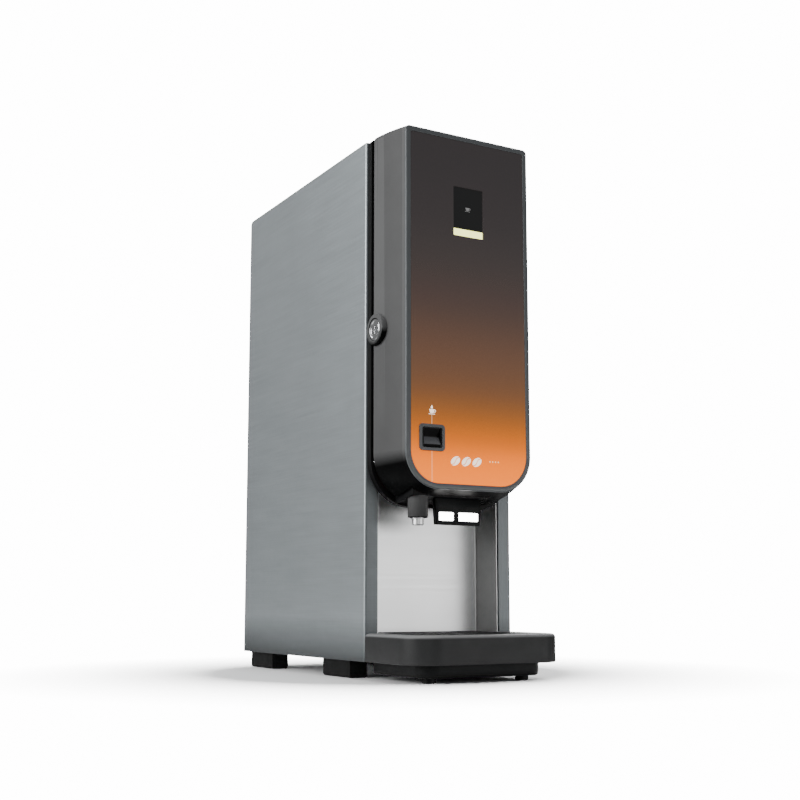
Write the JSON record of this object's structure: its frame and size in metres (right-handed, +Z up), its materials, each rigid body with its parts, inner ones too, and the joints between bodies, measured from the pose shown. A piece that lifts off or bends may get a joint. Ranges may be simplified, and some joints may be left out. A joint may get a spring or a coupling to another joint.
{
  "type": "hot coffee vending machine",
  "caption": "Slim countertop hot coffee vending machine with a hinged glass-fronted door, a hot-water spout, a coffee outlet over a cup niche, and a pull-out drip tray.",
  "frame": {"origin": "on the floor under the middle of the machine's box, with the water inlet at the back and the drip tray at the front inside the box", "axes": "+Z up, the front with the door and tray faces -Y, +X to the right seen from the front"},
  "size_m": [0.186, 0.443, 0.5864],
  "materials": {
    "coated_steel": "brushed steel under a clear blue-grey coat",
    "stainless": "brushed stainless sheet",
    "zinc": "zinc-plated sheet",
    "brass": "machined brass",
    "chrome": "polished chrome",
    "grey_plastic": "fine-grained moulding",
    "tray_plastic": "fine-grained moulding",
    "bezel_plastic": "satin moulding",
    "black_plastic": "fine-grained black moulding",
    "gloss_black": "polished black",
    "front_glass": "back-printed front glass, dark above and orange below",
    "rubber": "matte rubber",
    "canister_plastic": "translucent natural moulding",
    "white_plastic": "satin white moulding",
    "hose": "silicone hose",
    "copper": "copper tube",
    "board": "lacquered circuit board",
    "lens": "lit white diffuser"
  },
  "bodies": {
    "cabinet": {"auger_motor": "zinc", "base_plate": "zinc", "boiler_lid": "stainless", "boiler_tank": "stainless", "brew_pipe": "hose", "brew_valve": "brass", "bulkhead": "stainless", "canister_shelf": "stainless", "coffee_outlet": "black_plastic", "control_board": "board", "deck_plate": "stainless", "fan_housing": "black_plastic", "foot_front_left": "rubber", "foot_front_right": "rubber", "foot_rear_left": "rubber", "foot_rear_right": "rubber", "front_frame": "black_plastic", "heating_element": "copper", "hinge_bracket_lower": "zinc", "hinge_bracket_upper": "zinc", "hot_water_pipe": "hose", "hot_water_spout": "grey_plastic", "hot_water_valve": "brass", "inlet_pipe": "copper", "inlet_valve": "brass", "lamp_bar": "black_plastic", "lamp_lens_left": "lens", "lamp_lens_right": "lens", "left_side_panel": "coated_steel", "mixing_bowl": "white_plastic", "outlet_hood": "black_plastic", "power_inlet": "black_plastic", "power_supply": "zinc", "rear_panel": "zinc", "right_side_panel": "coated_steel", "splash_panel": "stainless", "top_panel": "coated_steel", "tray_base": "black_plastic", "water_inlet": "brass", "whipper_motor": "zinc"},
    "door": {"door_shell": "grey_plastic", "door_bezel": "bezel_plastic", "door_glass": "front_glass", "door_liner": "black_plastic", "display_module": "gloss_black", "key_frame": "bezel_plastic", "lock_body": "grey_plastic"},
    "lock_plug": {"lock_plug": "chrome", "lock_cam": "zinc"},
    "hot_water_key": {"hot_water_key": "gloss_black"},
    "drip_tray": {"drip_tray": "tray_plastic"},
    "drip_grille": {"drip_grille": "black_plastic"},
    "canister": {"canister": "canister_plastic"},
    "canister_lid": {"canister_lid": "white_plastic"},
    "canister_elbow": {"canister_elbow": "white_plastic"},
    "auger": {"auger": "white_plastic"},
    "drive_dog": {"drive_dog": "zinc"},
    "whipper_impeller": {"whipper_impeller": "white_plastic"},
    "fan_rotor": {"fan_rotor": "black_plastic"},
    "main_switch": {"main_switch": "gloss_black"}
  },
  "joints": [
    {"name": "door_hinge", "type": "hinge", "parent": "cabinet", "child": "door", "pos_m": [0.0805, -0.1385, 0.4], "axis": [0, 0, 1], "range_deg": [0, 105]},
    {"name": "lock_turn", "type": "hinge", "parent": "door", "child": "lock_plug", "pos_m": [-0.09, -0.136, 0.3693], "axis": [-1, 0, 0], "range_deg": [0, 90]},
    {"name": "hot_water_press", "type": "slide", "parent": "door", "child": "hot_water_key", "axis": [0, 1, 0], "range_m": [0, 0.0025], "stiffness_N_per_m": 400, "springref_m": -0.001},
    {"name": "tray_slide", "type": "slide", "parent": "cabinet", "child": "drip_tray", "axis": [0, -1, 0], "range_m": [0, 0.16]},
    {"name": "grille_lift", "type": "slide", "parent": "drip_tray", "child": "drip_grille", "axis": [0, 0, 1], "range_m": [0, 0.06]},
    {"name": "canister_slide", "type": "slide", "parent": "cabinet", "child": "canister", "axis": [0, -1, 0], "range_m": [0, 0.02]},
    {"name": "lid_hinge", "type": "hinge", "parent": "canister", "child": "canister_lid", "pos_m": [0, 0.0017, 0.5003], "axis": [-1, 0, 0], "range_deg": [0, 60]},
    {"name": "elbow_turn", "type": "hinge", "parent": "canister", "child": "canister_elbow", "pos_m": [0, -0.0925, 0.3495], "axis": [0, 1, 0], "range_deg": [0, 90]},
    {"name": "auger_spin", "type": "hinge", "parent": "canister", "child": "auger", "pos_m": [0, -0.0475, 0.3495], "axis": [0, 1, 0], "continuous": true},
    {"name": "drive_dog_spin", "type": "hinge", "parent": "cabinet", "child": "drive_dog", "pos_m": [0, 0.0065, 0.3495], "axis": [0, 1, 0], "continuous": true},
    {"name": "whipper_spin", "type": "hinge", "parent": "cabinet", "child": "whipper_impeller", "pos_m": [0, -0.0175, 0.243], "axis": [0, 1, 0], "continuous": true},
    {"name": "fan_spin", "type": "hinge", "parent": "cabinet", "child": "fan_rotor", "pos_m": [0, 0.0165, 0.54], "axis": [0, 1, 0], "continuous": true},
    {"name": "switch_rock", "type": "hinge", "parent": "cabinet", "child": "main_switch", "pos_m": [-0.048, 0.2065, 0.082], "axis": [1, 0, 0], "range_deg": [-9, 9]}
  ],
  "couplings": [
    {"joint": "drive_dog_spin", "follows": "auger_spin", "ratio": 1}
  ]
}
